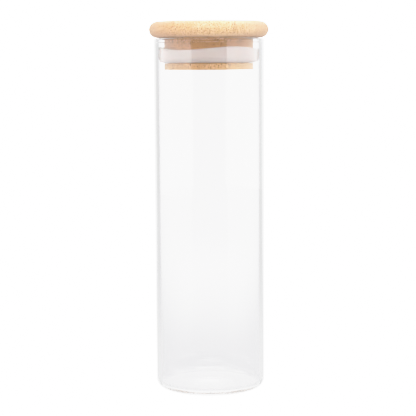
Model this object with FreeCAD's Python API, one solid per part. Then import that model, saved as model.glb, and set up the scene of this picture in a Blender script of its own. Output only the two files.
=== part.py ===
"""Tall specimen jar: a straight glass cylinder closed by a bamboo stopper lid with a silicone seal.

The glass is one piece, closed and flattened at the foot and fire-polished at the rim. The lid is two
boards glued face to face, a wide head and a grooved plug, and each board is glued up from bamboo strips
that stand on edge. The seal sits in the plug's groove and grips the inside of the glass.

Units are millimetres. The origin is the centre of the foot, on the surface that the jar stands on, and
+Z runs up the jar's axis. Profiles are drawn as radius and height, and turned about that axis.
"""

import FreeCAD, Part

import os

# Glass body
GLASS_DIAMETER = 65.0
GLASS_HEIGHT = 209.0
WALL = 2.5
FOOT_CORNER_RADIUS = 5.0
FOOT_HOLLOW_RADIUS = 16.0
FOOT_HOLLOW_HEIGHT = 0.5
FLOOR_HEIGHT = 3.0
SEALING_NUB_RADIUS = 12.5
SEALING_NUB_HEIGHT = 0.6

# Bamboo lid
HEAD_DIAMETER = 70.8
HEAD_THICKNESS = 9.5
PLUG_DIAMETER = 52.8
PLUG_DEPTH = 18.8
FLANGE_THICKNESS = 3.8
GROOVE_DEPTH = 2.4
GROOVE_HEIGHT = 6.8
STRIP_WIDTH = 6.6
HEAD_STRIPS = 11
PLUG_STRIPS = 8
GRAIN_TURN = -6.0

# Silicone seal
SEAL_FOOT_HEIGHT = 6.4
SEAL_BAND_HEIGHT = 8.4
SEAL_LEAD_IN_RADIUS = 3.5

# Gaps. The seal holds the lid just clear of the rim, and is itself free to turn between plug and glass
SEAT_GAP = 0.4
SEAL_TO_GLASS = 0.1
SEAL_TO_PLUG = 0.1

# Worked out from the driving dimensions
GLASS_RADIUS = GLASS_DIAMETER / 2
BORE_RADIUS = GLASS_RADIUS - WALL
FLOOR_CORNER_RADIUS = FOOT_CORNER_RADIUS - WALL
HEAD_BOTTOM = GLASS_HEIGHT + SEAT_GAP
PLUG_RADIUS = PLUG_DIAMETER / 2
PLUG_BOTTOM = HEAD_BOTTOM - PLUG_DEPTH
GROOVE_RADIUS = PLUG_RADIUS - GROOVE_DEPTH
GROOVE_BOTTOM = PLUG_BOTTOM + FLANGE_THICKNESS
GROOVE_TOP = GROOVE_BOTTOM + GROOVE_HEIGHT
SEAL_BOTTOM = GROOVE_BOTTOM + (GROOVE_HEIGHT - SEAL_FOOT_HEIGHT) / 2

AXIS = FreeCAD.Vector(0, 0, 1)
CENTRE = FreeCAD.Vector(0, 0, 0)


def point(radius, height):
    return FreeCAD.Vector(radius, 0, height)


def line(start, end):
    return Part.makeLine(point(*start), point(*end))


def arc(start, centre, end):
    """The arc of a profile from start to end, the short way round its centre."""
    first, middle, last = point(*start), point(*centre), point(*end)
    outward = (first + last) / 2 - middle
    through = middle + outward.normalize() * first.distanceToPoint(middle)
    return Part.Arc(first, through, last).toShape()


def ogee(start, end):
    """Two equal arcs that leave start and reach end level, as soft glass settles between two heights."""
    run = end[0] - start[0]
    rise = end[1] - start[1]
    halfway = (start[0] + run / 2, start[1] + rise / 2)
    radius = (run**2 + rise**2) / (4 * rise)
    return [
        arc(start, (start[0], start[1] + radius), halfway),
        arc(halfway, (end[0], end[1] - radius), end),
    ]


def turned(edges):
    """The solid that a closed profile sweeps about the jar's axis."""
    face = Part.Face(Part.Wire(edges))
    solid = Part.Solid(face.revolve(CENTRE, AXIS, 360))
    if solid.Volume < 0:
        solid.reverse()
    return solid


def glass_jar():
    """One wall of even thickness, on a foot that is hollow below and carries a nub at its middle."""
    foot_radius = GLASS_RADIUS - FOOT_CORNER_RADIUS
    floor_radius = BORE_RADIUS - FLOOR_CORNER_RADIUS
    floor_corner_top = FLOOR_HEIGHT + FLOOR_CORNER_RADIUS
    rim_radius = GLASS_RADIUS - WALL / 2
    rim_bottom = GLASS_HEIGHT - WALL / 2
    hollow_top = (0, FOOT_HOLLOW_HEIGHT)
    nub_top = (0, FLOOR_HEIGHT + SEALING_NUB_HEIGHT)
    return turned([
        *ogee(hollow_top, (FOOT_HOLLOW_RADIUS, 0)),
        line((FOOT_HOLLOW_RADIUS, 0), (foot_radius, 0)),
        arc((foot_radius, 0), (foot_radius, FOOT_CORNER_RADIUS), (GLASS_RADIUS, FOOT_CORNER_RADIUS)),
        line((GLASS_RADIUS, FOOT_CORNER_RADIUS), (GLASS_RADIUS, rim_bottom)),
        arc((GLASS_RADIUS, rim_bottom), (rim_radius, rim_bottom), (rim_radius, GLASS_HEIGHT)),
        arc((rim_radius, GLASS_HEIGHT), (rim_radius, rim_bottom), (BORE_RADIUS, rim_bottom)),
        line((BORE_RADIUS, rim_bottom), (BORE_RADIUS, floor_corner_top)),
        arc((BORE_RADIUS, floor_corner_top), (floor_radius, floor_corner_top), (floor_radius, FLOOR_HEIGHT)),
        line((floor_radius, FLOOR_HEIGHT), (SEALING_NUB_RADIUS, FLOOR_HEIGHT)),
        *ogee((SEALING_NUB_RADIUS, FLOOR_HEIGHT), nub_top),
        line(nub_top, hollow_top),
    ])


def seal_ring():
    """A foot that sits in the groove, inside a band that covers the groove's upper edge. A large round below
    leads the plug into the glass.
    """
    foot = GROOVE_RADIUS + SEAL_TO_PLUG
    lip = PLUG_RADIUS + SEAL_TO_PLUG
    outer = BORE_RADIUS - SEAL_TO_GLASS
    foot_top = SEAL_BOTTOM + SEAL_FOOT_HEIGHT
    band_top = SEAL_BOTTOM + SEAL_BAND_HEIGHT
    round_start = outer - SEAL_LEAD_IN_RADIUS
    round_top = SEAL_BOTTOM + SEAL_LEAD_IN_RADIUS
    return turned([
        line((foot, SEAL_BOTTOM), (round_start, SEAL_BOTTOM)),
        arc((round_start, SEAL_BOTTOM), (round_start, round_top), (outer, round_top)),
        line((outer, round_top), (outer, band_top)),
        line((outer, band_top), (lip, band_top)),
        line((lip, band_top), (lip, foot_top)),
        line((lip, foot_top), (foot, foot_top)),
        line((foot, foot_top), (foot, SEAL_BOTTOM)),
    ])


def lid_head():
    """A disc whose whole edge is rounded to half its thickness."""
    edge = HEAD_THICKNESS / 2
    flat = HEAD_DIAMETER / 2 - edge
    middle = HEAD_BOTTOM + edge
    top = HEAD_BOTTOM + HEAD_THICKNESS
    return turned([
        line((0, HEAD_BOTTOM), (flat, HEAD_BOTTOM)),
        arc((flat, HEAD_BOTTOM), (flat, middle), (flat + edge, middle)),
        arc((flat + edge, middle), (flat, middle), (flat, top)),
        line((flat, top), (0, top)),
        line((0, top), (0, HEAD_BOTTOM)),
    ])


def lid_plug():
    """A round plug under the head, with a groove for the seal and a flange that holds the seal up."""
    return turned([
        line((0, PLUG_BOTTOM), (PLUG_RADIUS, PLUG_BOTTOM)),
        line((PLUG_RADIUS, PLUG_BOTTOM), (PLUG_RADIUS, GROOVE_BOTTOM)),
        line((PLUG_RADIUS, GROOVE_BOTTOM), (GROOVE_RADIUS, GROOVE_BOTTOM)),
        line((GROOVE_RADIUS, GROOVE_BOTTOM), (GROOVE_RADIUS, GROOVE_TOP)),
        line((GROOVE_RADIUS, GROOVE_TOP), (PLUG_RADIUS, GROOVE_TOP)),
        line((PLUG_RADIUS, GROOVE_TOP), (PLUG_RADIUS, HEAD_BOTTOM)),
        line((PLUG_RADIUS, HEAD_BOTTOM), (0, HEAD_BOTTOM)),
        line((0, HEAD_BOTTOM), (0, PLUG_BOTTOM)),
    ])


def strips(board, count):
    """A turned board cut along its glue lines into its bamboo strips, from -X to +X before the grain's turn."""
    box = board.BoundBox
    size = (STRIP_WIDTH, box.YLength + 2, box.ZLength + 2)
    for number in range(count):
        left = (number - count / 2) * STRIP_WIDTH
        slab = Part.makeBox(*size, FreeCAD.Vector(left, box.YMin - 1, box.ZMin - 1))
        strip = board.common(slab).Solids[0]
        strip.rotate(CENTRE, AXIS, GRAIN_TURN)
        yield strip


def export(name, shape):
    if not shape.isValid():
        raise ValueError(name + " is not a valid solid")
    shape.exportStep(os.path.join("parts", name + ".step"))
    print(f"{name}: {shape.Volume / 1000:.2f} cm3, {len(shape.Solids)} solid")


def main():
    os.makedirs("parts", exist_ok=True)
    export("glass_jar", glass_jar())
    export("seal_ring", seal_ring())
    for number, strip in enumerate(strips(lid_head(), HEAD_STRIPS), 1):
        export(f"head_strip_{number:02d}", strip)
    for number, strip in enumerate(strips(lid_plug(), PLUG_STRIPS), 1):
        export(f"plug_strip_{number:02d}", strip)


main()
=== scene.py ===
"""The looks of a tall specimen jar: clear glass, a stopper lid of glued bamboo strips and a silicone seal.

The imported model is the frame: the jar's axis is Z and its foot stands on z = 0. Shapes are drawn here in
millimetres and written to meshes in metres.
"""

import math
import random

import bmesh
import bpy
from mathutils import Matrix, Vector, noise


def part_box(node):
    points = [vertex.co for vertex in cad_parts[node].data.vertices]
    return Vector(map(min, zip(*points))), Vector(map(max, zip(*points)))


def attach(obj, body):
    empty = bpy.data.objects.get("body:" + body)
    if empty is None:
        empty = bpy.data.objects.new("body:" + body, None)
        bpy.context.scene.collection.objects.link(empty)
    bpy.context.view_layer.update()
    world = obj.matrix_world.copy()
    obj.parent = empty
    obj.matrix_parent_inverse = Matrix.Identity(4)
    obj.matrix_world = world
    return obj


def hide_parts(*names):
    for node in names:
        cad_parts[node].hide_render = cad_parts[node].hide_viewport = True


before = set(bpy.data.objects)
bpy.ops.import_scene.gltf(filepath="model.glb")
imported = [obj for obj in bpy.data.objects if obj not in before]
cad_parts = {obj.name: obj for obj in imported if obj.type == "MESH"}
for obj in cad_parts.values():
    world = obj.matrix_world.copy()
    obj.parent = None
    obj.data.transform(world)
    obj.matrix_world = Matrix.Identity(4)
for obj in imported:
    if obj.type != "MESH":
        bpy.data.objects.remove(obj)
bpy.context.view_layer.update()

MM = 0.001


def node_box(node):
    """A CAD node's lowest and highest corners, in millimetres."""
    low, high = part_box(node)
    return Vector(low) / MM, Vector(high) / MM


# Sizes from the frame
GLASS_HIGH = node_box("glass_jar")[1]
SEAL_LOW, SEAL_HIGH = node_box("seal_ring")
HEAD_NODES = sorted(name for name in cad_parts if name.startswith("head_strip"))
PLUG_NODES = sorted(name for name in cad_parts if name.startswith("plug_strip"))
HEAD_LOW, HEAD_HIGH = node_box(HEAD_NODES[len(HEAD_NODES) // 2])
PLUG_LOW = node_box(PLUG_NODES[0])[0]

# Glass
GLASS_RADIUS = GLASS_HIGH.x
GLASS_HEIGHT = GLASS_HIGH.z
WALL = 2.5
BORE_RADIUS = GLASS_RADIUS - WALL
FOOT_CORNER_RADIUS = 5.0
FOOT_HOLLOW_RADIUS = 16.0
FOOT_HOLLOW_HEIGHT = 0.5
FLOOR_HEIGHT = 3.0
FLOOR_CORNER_RADIUS = FOOT_CORNER_RADIUS - WALL
NUB_RADIUS = 12.5
NUB_HEIGHT = 0.6
RIM_BEAD = 0.085
RIM_BEAD_HEIGHT = 2.15
RIM_BEAD_FADE = 0.65
WALL_WAVE = 0.03

# Bamboo lid
HEAD_RADIUS = HEAD_HIGH.y
HEAD_BOTTOM = HEAD_LOW.z
HEAD_TOP = HEAD_HIGH.z
PLUG_RADIUS = 26.4
PLUG_BOTTOM = PLUG_LOW.z
FLANGE_THICKNESS = 3.8
GROOVE_DEPTH = 2.4
GROOVE_HEIGHT = 6.8
EASED_EDGE = 0.35
STRIP_WIDTH = 6.6
GRAIN_TURN = math.radians(-6)

# Silicone seal
SEAL_RADIUS = SEAL_HIGH.x
SEAL_FOOT_HEIGHT = 6.4
SEAL_TO_PLUG = 0.1
SEAL_LEAD_IN_RADIUS = 3.5
SEAL_LIP_ROUND = 0.7
SEAL_WAVES = 3
SEAL_WAVE_HEIGHT = 0.9
SEAL_CREST = math.radians(60)

# Meshes: the steps round a turned piece, and how near a straight stretch's outer points lie to its ends
SEGMENTS = 192
HUG = 0.15

# Colours, as shares of the light that each sends back
GLASS_TINT = (0.98, 0.978, 0.985, 1)
SILICONE_CLEARNESS = 0.15
SILICONE_DULL = (0.85, 0.75, 0.70, 1)
SILICONE_PALE = (0.90, 0.80, 0.76, 1)
BAMBOO_CREAM = (0.74, 0.55, 0.38, 1)
BAMBOO_HONEY = (0.64, 0.44, 0.27, 1)
# Multiplied in by each strip's tone: its own random toasting, and painted shade towards the board's edges
BAMBOO_TOASTED_AND_SHADED = (0.88, 0.80, 0.77, 1)
END_GRAIN_SHADE = (0.93, 0.85, 0.66, 1)
END_GRAIN_LIGHT = (1.06, 1.0, 0.94, 1)
OILED = (1.0, 1.01, 1.08, 1)
BARE = (1.25, 1.16, 0.98, 1)
# Painted shade: darkens the plug's neck under the head's overhang
NECK_PAINTED_SHADE = (1.0, 0.82, 0.58, 1)
BUNDLE_BROWN = (0.25, 0.12, 0.04, 1)
GLUE_BROWN = (0.35, 0.21, 0.10, 1)

# Painted shade: the strips are palest a little right of the board's middle and darker towards its two edges,
# with a random scatter of each strip's own tone
LEAST_SHADED_STRIP_X = 11.0
FULL_SHADE_WITHIN = 40.0
TONE_SCATTER = 0.12

# Culm nodes in the head: the strip's number, and the node's place along the strip
HEAD_CULM_NODES = {8: -30.0, 3: 12.0}
NO_CULM_NODE = 1000

# Painted shade on a board's top, under the head's overhang, given as the depths under the head between which
# it fades in
TOP_SHADE_FROM = 9
TOP_SHADE_FULL = 4

# Vascular bundles inside the culm and near its skin: cells to a millimetre, and the share of a cell at
# which a bundle's edge starts and its full darkness is reached
HEAD_BUNDLES = ((0.9, 0.33, 0.18), (1.3, 0.37, 0.20))
PLUG_BUNDLES = ((0.7, 0.36, 0.24), (0.95, 0.38, 0.24))

# Light, where 1 is plain white
OVEREXPOSED = 3.0
BACKDROP = 1.2
BACKDROP_DIM = 0.78
TABLE = 3.2
TABLE_AT_FOOT = 0.9
TABLE_RADIUS = 1300
FLOOR_CONTACT = 0.02
ROOM = 0.5
SOFTBOX = 2.6
SOFTBOX_START = 39
SOFTBOX_END = 130
SIDE_FILL = 0.7
FRONT_LIGHT = 4.3
OVERHEAD = 2.2
RIGHT_SHARE = 1.04
LIGHT_BOUNCES = 24
LEAKED_LIGHT = 0.5
SHOULDER = ((0.4, 0.4), (0.8, 0.8), (1.0, 0.92), (1.6, 0.955))

# Camera
CAMERA_PLACE = (-0.001, -0.8201, 0.1946)
CAMERA_LENS = 118.94
CAMERA_TIP = 6.03
CAMERA_ROLL = -0.311


# Profiles and turned meshes

def arc(centre, radius, start, end, steps):
    """Points (radius, height) on an arc. Angles are in degrees from the outward direction, towards +Z."""
    angles = (math.radians(start + (end - start) * i / steps) for i in range(steps + 1))
    return [(centre[0] + radius * math.cos(a), centre[1] + radius * math.sin(a)) for a in angles]


def run(start, end, steps):
    """Points from start to end, without the two ends. The first and the last hug the ends, which keeps the
    shading flat right up to a round beside them.
    """
    hug = HUG / math.dist(start, end)
    shares = [hug, *(i / steps for i in range(1, steps)), 1 - hug]
    return [tuple(s + (e - s) * share for s, e in zip(start, end)) for share in shares]


def settle(start, end, steps):
    """Points from start to end along half a wave, level at both ends, with both ends."""
    points = []
    for i in range(steps + 1):
        t = i / steps
        rise = (1 - math.cos(math.pi * t)) / 2
        points.append((start[0] + (end[0] - start[0]) * t, start[1] + (end[1] - start[1]) * rise))
    return points


def turned(profile, closed=False, shape=None):
    """A bmesh of a profile turned about Z. shape(angle, radius, height) may move each point of it."""
    bm = bmesh.new()
    rings = []
    for radius, height in profile:
        if radius < 1e-6:
            rings.append([bm.verts.new((0, 0, height))] * SEGMENTS)
            continue
        ring = []
        for i in range(SEGMENTS):
            angle = 2 * math.pi * i / SEGMENTS
            r, h = shape(angle, radius, height) if shape else (radius, height)
            ring.append(bm.verts.new((r * math.cos(angle), r * math.sin(angle), h)))
        rings.append(ring)
    pairs = list(zip(rings, rings[1:]))
    if closed:
        pairs.append((rings[-1], rings[0]))
    for low, high in pairs:
        for i in range(SEGMENTS):
            j = (i + 1) % SEGMENTS
            corners = [low[i], low[j], high[j], high[i]]
            bm.faces.new(list(dict.fromkeys(corners)))
    bmesh.ops.recalc_face_normals(bm, faces=bm.faces)
    return bm


def make_object(name, bm, sharp=35):
    """A smooth object in metres from a bmesh in millimetres, with edges sharper than an angle kept sharp."""
    bmesh.ops.scale(bm, vec=(MM, MM, MM), verts=bm.verts)
    mesh = bpy.data.meshes.new(name)
    bm.to_mesh(mesh)
    bm.free()
    mesh.polygons.foreach_set("use_smooth", [True] * len(mesh.polygons))
    mesh.set_sharp_from_angle(angle=math.radians(sharp))
    obj = bpy.data.objects.new(name, mesh)
    bpy.context.scene.collection.objects.link(obj)
    return obj


# Node trees

def put(socket, value):
    """Sets an input to a value, or links it to another node's output."""
    if isinstance(value, bpy.types.NodeSocket):
        socket.id_data.links.new(value, socket)
    else:
        socket.default_value = value


def add(tree, kind, *inputs, **settings):
    """A node with its first inputs and its settings filled in."""
    made = tree.nodes.new(kind)
    for key, value in settings.items():
        setattr(made, key, value)
    for socket, value in zip(made.inputs, inputs):
        if value is not None:
            put(socket, value)
    return made


def calc(tree, operation, *values):
    """The result of a Math node."""
    return add(tree, "ShaderNodeMath", *values, operation=operation).outputs[0]


def remap(tree, value, low, high, to_low=0.0, to_high=1.0):
    """value taken smoothly from the range low..high to to_low..to_high, and held beyond it."""
    made = add(tree, "ShaderNodeMapRange", value, low, high, to_low, to_high, interpolation_type="SMOOTHSTEP")
    return made.outputs[0]


def blended(tree, factor, first, second, blend_type="MIX"):
    """The colour of a Mix node."""
    made = tree.nodes.new("ShaderNodeMix")
    made.data_type = "RGBA"
    made.blend_type = blend_type
    put(made.inputs[0], factor)
    put(made.inputs[6], first)
    put(made.inputs[7], second)
    return made.outputs[2]


def stretched(tree, vector, scale):
    """A vector multiplied by another, part by part."""
    return add(tree, "ShaderNodeVectorMath", vector, scale, operation="MULTIPLY").outputs[0]


def new_material(name, **principled):
    """A material with one Principled shader, whose sockets are set by their names."""
    material = bpy.data.materials.new(name)
    material.use_nodes = True
    tree = material.node_tree
    shader = tree.nodes["Principled BSDF"]
    for key, value in principled.items():
        put(shader.inputs[key.replace("_", " ")], value)
    return material, tree, shader


def texture(tree, kind, vector, **sockets):
    """A texture node on a vector, with its other sockets set by their names."""
    made = tree.nodes.new(kind)
    put(made.inputs["Vector"], vector)
    for key, value in sockets.items():
        put(made.inputs[key.replace("_", " ")], value)
    return made


def bumped(tree, shader, height, distance, strength=1.0):
    """Gives a shader a bump of a height from 0 to 1 that stands for a distance in millimetres."""
    made = tree.nodes.new("ShaderNodeBump")
    put(made.inputs["Strength"], strength)
    put(made.inputs["Distance"], distance * MM)
    put(made.inputs["Height"], height)
    put(shader.inputs["Normal"], made.outputs[0])


# Materials

def glass_material():
    """Clear borosilicate, with the faint upright draw lines and slow waves of a blown tube."""
    material, tree, shader = new_material(
        "clear_glass", Base_Color=GLASS_TINT, Roughness=0.0, IOR=1.47, Transmission_Weight=1.0,
    )
    place = add(tree, "ShaderNodeTexCoord").outputs["Object"]
    upright = stretched(tree, place, (220, 220, 6))
    draw_lines = texture(tree, "ShaderNodeTexNoise", upright, Scale=1.0, Detail=2.0)
    slow = stretched(tree, place, (45, 45, 30))
    waves = texture(tree, "ShaderNodeTexNoise", slow, Scale=1.0, Detail=1.0)
    height = calc(tree, "MULTIPLY_ADD", draw_lines.outputs[0], 0.15, waves.outputs[0])
    bumped(tree, shader, height, 0.004)

    # A path still caught in the wall at its last bounce ends in a fixed level instead of black.
    # It stands for light that leaks out all along the wall
    bounces = add(tree, "ShaderNodeLightPath").outputs["Ray Depth"]
    leaked = remap(tree, bounces, LIGHT_BOUNCES - 1, LIGHT_BOUNCES, 0.0, LEAKED_LIGHT)
    put(shader.inputs["Emission Strength"], leaked)
    return material


def silicone_material():
    """Milky silicone, faintly cloudy, with the dull skin that a fine mould leaves."""
    material, tree, shader = new_material(
        "milky_silicone", IOR=1.41, Transmission_Weight=SILICONE_CLEARNESS,
        Subsurface_Weight=0.6, Subsurface_Radius=(1.0, 0.75, 0.65), Subsurface_Scale=0.002,
    )
    place = add(tree, "ShaderNodeTexCoord").outputs["Object"]
    cloud = texture(tree, "ShaderNodeTexNoise", place, Scale=120.0, Detail=3.0).outputs[0]
    skin = texture(tree, "ShaderNodeTexNoise", place, Scale=3000.0, Detail=2.0).outputs[0]
    put(shader.inputs["Base Color"], blended(tree, cloud, SILICONE_DULL, SILICONE_PALE))
    put(shader.inputs["Roughness"], remap(tree, cloud, 0.3, 0.7, 0.42, 0.56))
    bumped(tree, shader, skin, 0.01)
    return material


def bamboo_material(name, tint, top_shade_tint, both_bundles):
    """Side-pressed bamboo. The grain attribute gives each strip its own place in one solid pattern, in
    millimetres: x across the culm's wall, y along the fibres and z round the culm. Vascular bundles show as
    dots on end grain and as long streaks on side grain, and crowd towards the culm's skin.
    """
    material, tree, shader = new_material(name, IOR=1.55)
    grain = add(tree, "ShaderNodeAttribute", attribute_name="grain").outputs["Vector"]
    tone_and_shade = add(tree, "ShaderNodeAttribute", attribute_name="tone_and_shade").outputs["Fac"]
    to_culm_node = add(tree, "ShaderNodeAttribute", attribute_name="to_culm_node").outputs["Fac"]
    normal = add(tree, "ShaderNodeTexCoord").outputs["Normal"]

    # How much of the surface is end grain, from 0 along the fibres to 1 across them
    fibre = (-math.sin(GRAIN_TURN), math.cos(GRAIN_TURN), 0)
    facing = add(tree, "ShaderNodeVectorMath", normal, fibre, operation="DOT_PRODUCT").outputs["Value"]
    end_grain = remap(tree, calc(tree, "ABSOLUTE", facing), 0.35, 0.9)

    # The fibres wander a little, and swirl where the culm had a node
    culm_node = remap(tree, calc(tree, "ABSOLUTE", to_culm_node), 5.0, 0.0)
    slow_place = stretched(tree, grain, (0.25, 0.03, 0.25))
    slow = texture(tree, "ShaderNodeTexNoise", slow_place, Scale=1.0, Detail=1.0)
    reach = calc(tree, "MULTIPLY_ADD", culm_node, 2.5, 1.2)
    wander = add(tree, "ShaderNodeVectorMath", slow.outputs["Color"], (0.5, 0.5, 0.5), operation="SUBTRACT")
    sway = add(tree, "ShaderNodeVectorMath", wander.outputs[0], None, None, reach, operation="SCALE")
    place = add(tree, "ShaderNodeVectorMath", grain, sway.outputs[0], operation="ADD").outputs[0]

    # Bundles, coarse inside the culm and fine near its skin
    parts = add(tree, "ShaderNodeSeparateXYZ", place).outputs
    x, z = parts[0], parts[2]
    skin_side = remap(tree, x, -2.0, 3.0)
    across = add(tree, "ShaderNodeCombineXYZ", x, z).outputs[0]
    bundles = []
    for per_mm, edge, core in both_bundles:
        cells = texture(tree, "ShaderNodeTexVoronoi", across, Scale=per_mm, Randomness=0.8)
        cells.voronoi_dimensions = "2D"
        lot = add(tree, "ShaderNodeSeparateXYZ", cells.outputs["Color"]).outputs[0]
        dark = remap(tree, lot, 0.2, 0.8, 0.3, 1.0)
        bundles.append(calc(tree, "MULTIPLY", remap(tree, cells.outputs["Distance"], edge, core), dark))
    bundle = add(tree, "ShaderNodeMix", skin_side, None, bundles[0], bundles[1]).outputs[0]
    bundle_depth = add(tree, "ShaderNodeMix", end_grain, None, 0.4, 0.95).outputs[0]
    bundle_share = calc(tree, "MULTIPLY", bundle, bundle_depth)

    # Ground tissue with fine streaks, each strip with its own tone, and darker towards the board's edges as
    # painted shade
    streak_place = stretched(tree, place, (2.6, 0.035, 2.6))
    streak = texture(tree, "ShaderNodeTexNoise", streak_place, Scale=1.0, Detail=4.0)
    cloud_place = stretched(tree, grain, (0.12, 0.02, 0.12))
    cloud = texture(tree, "ShaderNodeTexNoise", cloud_place, Scale=1.0, Detail=2.0)
    cloud_part = calc(tree, "MULTIPLY", cloud.outputs[0], 0.45)
    lightness = calc(tree, "ADD", calc(tree, "MULTIPLY", streak.outputs[0], 0.55), cloud_part)
    ground = blended(tree, remap(tree, lightness, 0.3, 0.7), BAMBOO_HONEY, BAMBOO_CREAM)
    ground = blended(tree, tone_and_shade, ground, blended(tree, 1.0, ground, BAMBOO_TOASTED_AND_SHADED, "MULTIPLY"))
    speckle_place = stretched(tree, place, (1.1, 0.1, 1.1))
    speckle = texture(tree, "ShaderNodeTexNoise", speckle_place, Scale=1.0, Detail=2.0)
    shade = blended(tree, remap(tree, speckle.outputs[0], 0.35, 0.65), END_GRAIN_SHADE, END_GRAIN_LIGHT)
    ground = blended(tree, end_grain, ground, blended(tree, 1.0, ground, shade, "MULTIPLY"))
    colour = blended(tree, bundle_share, ground, BUNDLE_BROWN)

    # The culm node's thin dark line, and the glue line at each strip's edge
    node_line = calc(tree, "MULTIPLY", remap(tree, calc(tree, "ABSOLUTE", to_culm_node), 0.9, 0.1), 0.2)
    colour = blended(tree, node_line, colour, BUNDLE_BROWN)
    from_middle = calc(tree, "ABSOLUTE", add(tree, "ShaderNodeSeparateXYZ", grain).outputs[0])
    glue = remap(tree, from_middle, STRIP_WIDTH / 2 - 0.12, STRIP_WIDTH / 2 - 0.02, 0.0, 0.5)
    colour = blended(tree, glue, colour, GLUE_BROWN)

    # The finish, and near the top of a board a tint that paints the shade under the head's overhang (none on
    # the head, whose two tints are the same)
    top = add(tree, "ShaderNodeSeparateXYZ", add(tree, "ShaderNodeTexCoord").outputs["Object"]).outputs[2]
    start = (HEAD_BOTTOM - TOP_SHADE_FROM) * MM
    full = (HEAD_BOTTOM - TOP_SHADE_FULL) * MM
    finish_and_shade = blended(tree, remap(tree, top, start, full), tint, top_shade_tint)
    put(shader.inputs["Base Color"], blended(tree, 1.0, colour, finish_and_shade, "MULTIPLY"))
    put(shader.inputs["Roughness"], remap(tree, streak.outputs[0], 0.3, 0.7, 0.40, 0.54))
    relief = calc(tree, "MULTIPLY_ADD", bundle, -0.5, streak.outputs[0])
    bumped(tree, shader, relief, 0.03)
    return material


# Pieces

def make_glass():
    """The glass: a wall of nearly even thickness on a slightly uneven floor, with a fire-polished rim."""
    foot = GLASS_RADIUS - FOOT_CORNER_RADIUS
    floor = BORE_RADIUS - FLOOR_CORNER_RADIUS
    floor_corner_top = FLOOR_HEIGHT + FLOOR_CORNER_RADIUS
    bead = BORE_RADIUS - RIM_BEAD
    rim = (WALL + RIM_BEAD) / 2
    rim_low = GLASS_HEIGHT - rim
    bead_low = GLASS_HEIGHT - RIM_BEAD_HEIGHT
    bead_end = bead_low - RIM_BEAD_FADE
    profile = [
        *settle((0, FOOT_HOLLOW_HEIGHT), (FOOT_HOLLOW_RADIUS, 0), 16),
        *run((FOOT_HOLLOW_RADIUS, 0), (foot, 0), 4),
        *arc((foot, FOOT_CORNER_RADIUS), FOOT_CORNER_RADIUS, -90, 0, 20),
        *run((GLASS_RADIUS, FOOT_CORNER_RADIUS), (GLASS_RADIUS, rim_low), 60),
        *arc((GLASS_RADIUS - rim, rim_low), rim, 0, 180, 20),
        *run((bead, rim_low), (bead, bead_low), 2),
        *((bead + RIM_BEAD * t, h) for h, t in settle((bead_low, 0), (bead_end, 1), 8)),
        *run((BORE_RADIUS, bead_end), (BORE_RADIUS, floor_corner_top), 60),
        *arc((floor, floor_corner_top), FLOOR_CORNER_RADIUS, 0, -90, 16),
        *run((floor, FLOOR_HEIGHT), (NUB_RADIUS, FLOOR_HEIGHT), 8),
        *settle((NUB_RADIUS, FLOOR_HEIGHT), (0, FLOOR_HEIGHT + NUB_HEIGHT), 12),
    ]

    def uneven(angle, radius, height):
        """Moves the bore, and the floor more, by slow waves. The outside keeps its size."""
        inside = radius < BORE_RADIUS + 0.5 and height > FLOOR_HEIGHT - 0.5 and height < bead_end
        if not inside:
            return radius, height
        place = Vector((math.cos(angle) * 1.2, math.sin(angle) * 1.2, height / 28))
        on_wall = height > floor_corner_top
        if on_wall:
            return radius + WALL_WAVE * noise.noise(place), height
        place = Vector((math.cos(angle) * radius / 12, math.sin(angle) * radius / 12, 5.0))
        return radius, height + 3 * WALL_WAVE * noise.noise(place) * min(1, radius / 5)

    glass = make_object("glass_body", turned(profile, shape=uneven))
    glass.data.materials.append(glass_material())
    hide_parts("glass_jar")
    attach(glass, "jar")


def make_seal():
    """The seal: a foot in the plug's groove, and a lip that covers the groove's edge in a slow wave."""
    low, high = SEAL_LOW.z, SEAL_HIGH.z
    foot = PLUG_RADIUS - GROOVE_DEPTH + SEAL_TO_PLUG
    foot_top = low + SEAL_FOOT_HEIGHT
    lip = PLUG_RADIUS + SEAL_TO_PLUG
    lead_in = SEAL_RADIUS - SEAL_LEAD_IN_RADIUS
    lead_in_top = low + SEAL_LEAD_IN_RADIUS
    edge = SEAL_LIP_ROUND
    profile = [
        *run((foot, low), (lead_in, low), 6),
        *arc((lead_in, lead_in_top), SEAL_LEAD_IN_RADIUS, -90, 0, 14),
        *run((SEAL_RADIUS, lead_in_top), (SEAL_RADIUS, high - edge), 8),
        *arc((SEAL_RADIUS - edge, high - edge), edge, 0, 90, 8),
        *run((SEAL_RADIUS - edge, high), (lip + edge, high), 8),
        *arc((lip + edge, high - edge), edge, 90, 180, 8),
        *run((lip, high - edge), (lip, foot_top), 4),
        (lip, foot_top),
        *run((lip, foot_top), (foot, foot_top), 4),
        (foot, foot_top),
    ]

    def uneven(angle, radius, height):
        """Waves that grow from nothing at the lead-in to their full height at the lip's free edge."""
        wave = SEAL_WAVE_HEIGHT * math.cos(SEAL_WAVES * (angle - SEAL_CREST))
        free = min(1, max(0, (height - lead_in_top) / (high - edge - lead_in_top)))
        on_lip = radius > PLUG_RADIUS and height > lead_in_top
        return radius, height + wave * free * on_lip

    seal = make_object("seal_band", turned(profile, closed=True, shape=uneven), sharp=60)
    seal.data.materials.append(silicone_material())
    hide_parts("seal_ring")
    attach(seal, "seal")


def head_profile():
    edge = (HEAD_TOP - HEAD_BOTTOM) / 2
    flat = HEAD_RADIUS - edge
    return [
        (0, HEAD_BOTTOM),
        *run((0, HEAD_BOTTOM), (flat, HEAD_BOTTOM), 12),
        *arc((flat, HEAD_BOTTOM + edge), edge, -90, 90, 28),
        *run((flat, HEAD_TOP), (0, HEAD_TOP), 12),
        (0, HEAD_TOP),
    ]


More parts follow.
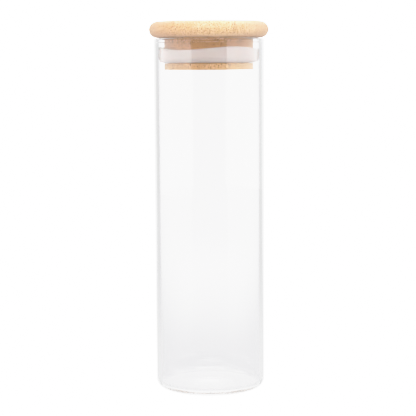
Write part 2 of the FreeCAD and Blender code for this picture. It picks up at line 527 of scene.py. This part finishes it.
def plug_profile():
    """The plug with its turned edges eased by a touch of sandpaper."""
    groove_low = PLUG_BOTTOM + FLANGE_THICKNESS
    groove_high = groove_low + GROOVE_HEIGHT
    groove = PLUG_RADIUS - GROOVE_DEPTH
    inset = PLUG_RADIUS - EASED_EDGE
    return [
        (0, PLUG_BOTTOM),
        *run((0, PLUG_BOTTOM), (inset, PLUG_BOTTOM), 10),
        *arc((inset, PLUG_BOTTOM + EASED_EDGE), EASED_EDGE, -90, 0, 6),
        *arc((inset, groove_low - EASED_EDGE), EASED_EDGE, 0, 90, 6),
        (groove, groove_low),
        (groove, groove_high),
        *arc((inset, groove_high + EASED_EDGE), EASED_EDGE, -90, 0, 6),
        (PLUG_RADIUS, HEAD_BOTTOM),
        *run((PLUG_RADIUS, HEAD_BOTTOM), (0, HEAD_BOTTOM), 10),
        (0, HEAD_BOTTOM),
    ]


def cut_slab(board, low, high):
    """A copy of a board between two planes across X, closed where it was cut."""
    bm = board.copy()
    for x, side in ((low, -1), (high, 1)):
        bmesh.ops.bisect_plane(
            bm, geom=bm.verts[:] + bm.edges[:] + bm.faces[:], plane_co=(x, 0, 0), plane_no=(side, 0, 0),
            clear_outer=True,
        )
        bmesh.ops.holes_fill(bm, edges=[edge for edge in bm.edges if edge.is_boundary])
    bmesh.ops.recalc_face_normals(bm, faces=bm.faces)
    return bm


def mark_grain(mesh, centre, dice, culm_node):
    """Writes where each point lies in the strip's bamboo, in millimetres across, along and round the culm,
    how dark the strip is (painted shade towards the board's edges, plus its own random tone), and how far the
    point is from the culm's node.
    """
    flip = dice.choice((-1, 1))
    along = dice.uniform(-400, 400)
    round_culm = dice.uniform(-400, 400)
    # Painted shade grows with distance from the least shaded strip; the scatter is the strip's own tone
    tone_and_shade = abs(centre - LEAST_SHADED_STRIP_X) / FULL_SHADE_WITHIN + dice.uniform(-TONE_SCATTER, TONE_SCATTER)
    tone_and_shade = min(1, max(0, tone_and_shade))
    places, distances = [], []
    for vertex in mesh.vertices:
        x, y, z = vertex.co / MM
        places += ((x - centre) * flip, y + along, z + round_culm)
        distances.append(y - culm_node)
    mesh.attributes.new("grain", "FLOAT_VECTOR", "POINT").data.foreach_set("vector", places)
    mesh.attributes.new("tone_and_shade", "FLOAT", "POINT").data.foreach_set("value", [tone_and_shade] * len(mesh.vertices))
    mesh.attributes.new("to_culm_node", "FLOAT", "POINT").data.foreach_set("value", distances)


def make_board(nodes, profile, material, seed, culm_nodes):
    """One board of the lid as its bamboo strips. culm_nodes gives where a strip has a node of its culm."""
    dice = random.Random(seed)
    board = turned(profile)
    for number, node in enumerate(nodes):
        centre = (number - (len(nodes) - 1) / 2) * STRIP_WIDTH
        bm = cut_slab(board, centre - STRIP_WIDTH / 2, centre + STRIP_WIDTH / 2)
        strip = make_object("bamboo_" + node, bm)
        mark_grain(strip.data, centre, dice, culm_nodes.get(number, NO_CULM_NODE))
        strip.data.transform(Matrix.Rotation(GRAIN_TURN, 4, "Z"))
        strip.data.materials.append(material)
        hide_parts(node)
        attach(strip, "lid")
    board.free()


# Stage, light and camera

def cosine(degrees):
    return math.cos(math.radians(degrees))


def grey(level):
    return (level, level, level, 1)


def levels(tree, value, first, *steps):
    """A colour that starts as the first, and turns into each step's own between that step's two values."""
    made = first
    for low, high, colour in steps:
        made = blended(tree, remap(tree, value, low, high), made, colour)
    return made


def behind_jar(tree, way):
    """White straight behind the jar, and dimmer to both sides, as seen from the jar along a vector."""
    level = add(tree, "ShaderNodeVectorMath", way, (1, 1, 0), operation="MULTIPLY").outputs[0]
    level = add(tree, "ShaderNodeVectorMath", level, operation="NORMALIZE").outputs[0]
    backwards = add(tree, "ShaderNodeVectorMath", level, (0, 1, 0), operation="DOT_PRODUCT").outputs["Value"]
    white = remap(tree, backwards, cosine(26), cosine(2), BACKDROP_DIM, BACKDROP)
    return white, backwards


def make_floor():
    """A pale light table. The camera sees it as plain white, the glass sees its own levels, and reflections
    don't see it.
    """
    bm = bmesh.new()
    bmesh.ops.create_circle(bm, cap_ends=True, segments=96, radius=TABLE_RADIUS)
    floor = make_object("floor", bm)
    material, tree, shader = new_material("light_table")
    place = add(tree, "ShaderNodeTexCoord").outputs["Object"]
    white, backwards = behind_jar(tree, place)
    in_front = remap(tree, backwards, 0.3, -0.7)
    reach = add(tree, "ShaderNodeVectorMath", place, operation="LENGTH").outputs["Value"]
    table = remap(tree, reach, 0.25, 0.75, TABLE, ROOM)
    white = add(tree, "ShaderNodeMix", in_front, None, white, table).outputs[0]
    away = remap(tree, reach, 0.06, 0.6)
    strength = add(tree, "ShaderNodeMix", away, None, TABLE_AT_FOOT, white).outputs[0]
    seen = add(tree, "ShaderNodeLightPath").outputs["Is Camera Ray"]
    strength = add(tree, "ShaderNodeMix", seen, None, strength, OVEREXPOSED).outputs[0]
    light = add(tree, "ShaderNodeEmission", (1, 1, 1, 1), strength).outputs[0]
    put(tree.nodes["Material Output"].inputs["Surface"], light)
    floor.data.materials.append(material)
    floor.visible_glossy = False
    floor.location.z = FLOOR_CONTACT * MM


def make_world():
    """A light tent: a white backdrop and table, a low softbox along each side, a large one over the camera,
    and between that one and the table the gap that the camera looks in by, with the dim room beyond. The
    camera itself sees plain white all round.
    """
    world = bpy.data.worlds.new("studio")
    world.use_nodes = True
    tree = world.node_tree
    way = add(tree, "ShaderNodeTexCoord").outputs["Generated"]
    white, backwards = behind_jar(tree, way)
    parts = add(tree, "ShaderNodeSeparateXYZ", way).outputs
    rightwards, height = parts[0], parts[2]
    in_front = remap(tree, backwards, -cosine(SOFTBOX_START), -cosine(SOFTBOX_START - 2))
    beside = remap(tree, backwards, -cosine(SOFTBOX_END), -cosine(SOFTBOX_END - 8))
    top = (0.55, 0.8, grey(OVERHEAD))
    back = levels(tree, height, white, top)
    side = levels(tree, height, white, (-0.22, -0.1, grey(SOFTBOX)), (0.08, 0.2, grey(SIDE_FILL)), top)
    front = levels(tree, height, white, (-0.22, -0.1, grey(ROOM)), (0.16, 0.44, grey(FRONT_LIGHT)), top)
    light = blended(tree, in_front, blended(tree, beside, back, side), front)
    lean = remap(tree, rightwards, -0.9, 0.9, 2 - RIGHT_SHARE, RIGHT_SHARE)
    light = add(tree, "ShaderNodeVectorMath", light, None, None, lean, operation="SCALE").outputs[0]
    seen = add(tree, "ShaderNodeLightPath").outputs["Is Camera Ray"]
    put(tree.nodes["Background"].inputs["Color"], blended(tree, seen, light, grey(OVEREXPOSED)))
    bpy.context.scene.world = world


def make_camera():
    """A telephoto lens, level with the plug and tipped down to take in the foot."""
    data = bpy.data.cameras.new("camera")
    data.sensor_width = 36.0
    data.lens = CAMERA_LENS
    camera = bpy.data.objects.new("camera", data)
    tip = Matrix.Rotation(math.radians(90 - CAMERA_TIP), 4, "X")
    turn = tip @ Matrix.Rotation(math.radians(CAMERA_ROLL), 4, "Z")
    camera.matrix_world = Matrix.Translation(CAMERA_PLACE) @ turn
    bpy.context.scene.collection.objects.link(camera)
    bpy.context.scene.camera = camera


def set_light_paths():
    """Light that enters the foot climbs the glass wall by total reflection. It is followed for a fixed number
    of bounces, and what is still caught then is set by the glass material.
    """
    cycles = bpy.context.scene.cycles
    cycles.max_bounces = LIGHT_BOUNCES
    cycles.transmission_bounces = LIGHT_BOUNCES
    cycles.glossy_bounces = LIGHT_BOUNCES


def set_exposure():
    """A soft shoulder for the highlights, as a camera gives them, so that pale glass keeps its tones."""
    scene = bpy.context.scene
    scene.view_settings.view_transform = "Standard"
    scene.view_settings.use_curve_mapping = True
    mapping = scene.view_settings.curve_mapping
    mapping.white_level = (OVEREXPOSED, OVEREXPOSED, OVEREXPOSED)
    curve = mapping.curves[3]
    for light, shown in SHOULDER:
        point = curve.points.new(light / OVEREXPOSED, shown)
        point.handle_type = "AUTO_CLAMPED"
    mapping.update()


make_glass()
make_seal()
oiled_bamboo = bamboo_material("oiled_bamboo", OILED, OILED, HEAD_BUNDLES)
make_board(HEAD_NODES, head_profile(), oiled_bamboo, 1, HEAD_CULM_NODES)
# The plug's bamboo, with painted shade on its neck under the head
bare_bamboo_neck_shade = bamboo_material("bare_bamboo_neck_shade", BARE, NECK_PAINTED_SHADE, PLUG_BUNDLES)
make_board(PLUG_NODES, plug_profile(), bare_bamboo_neck_shade, 2, {})
make_floor()
make_world()
make_camera()
set_light_paths()
set_exposure()
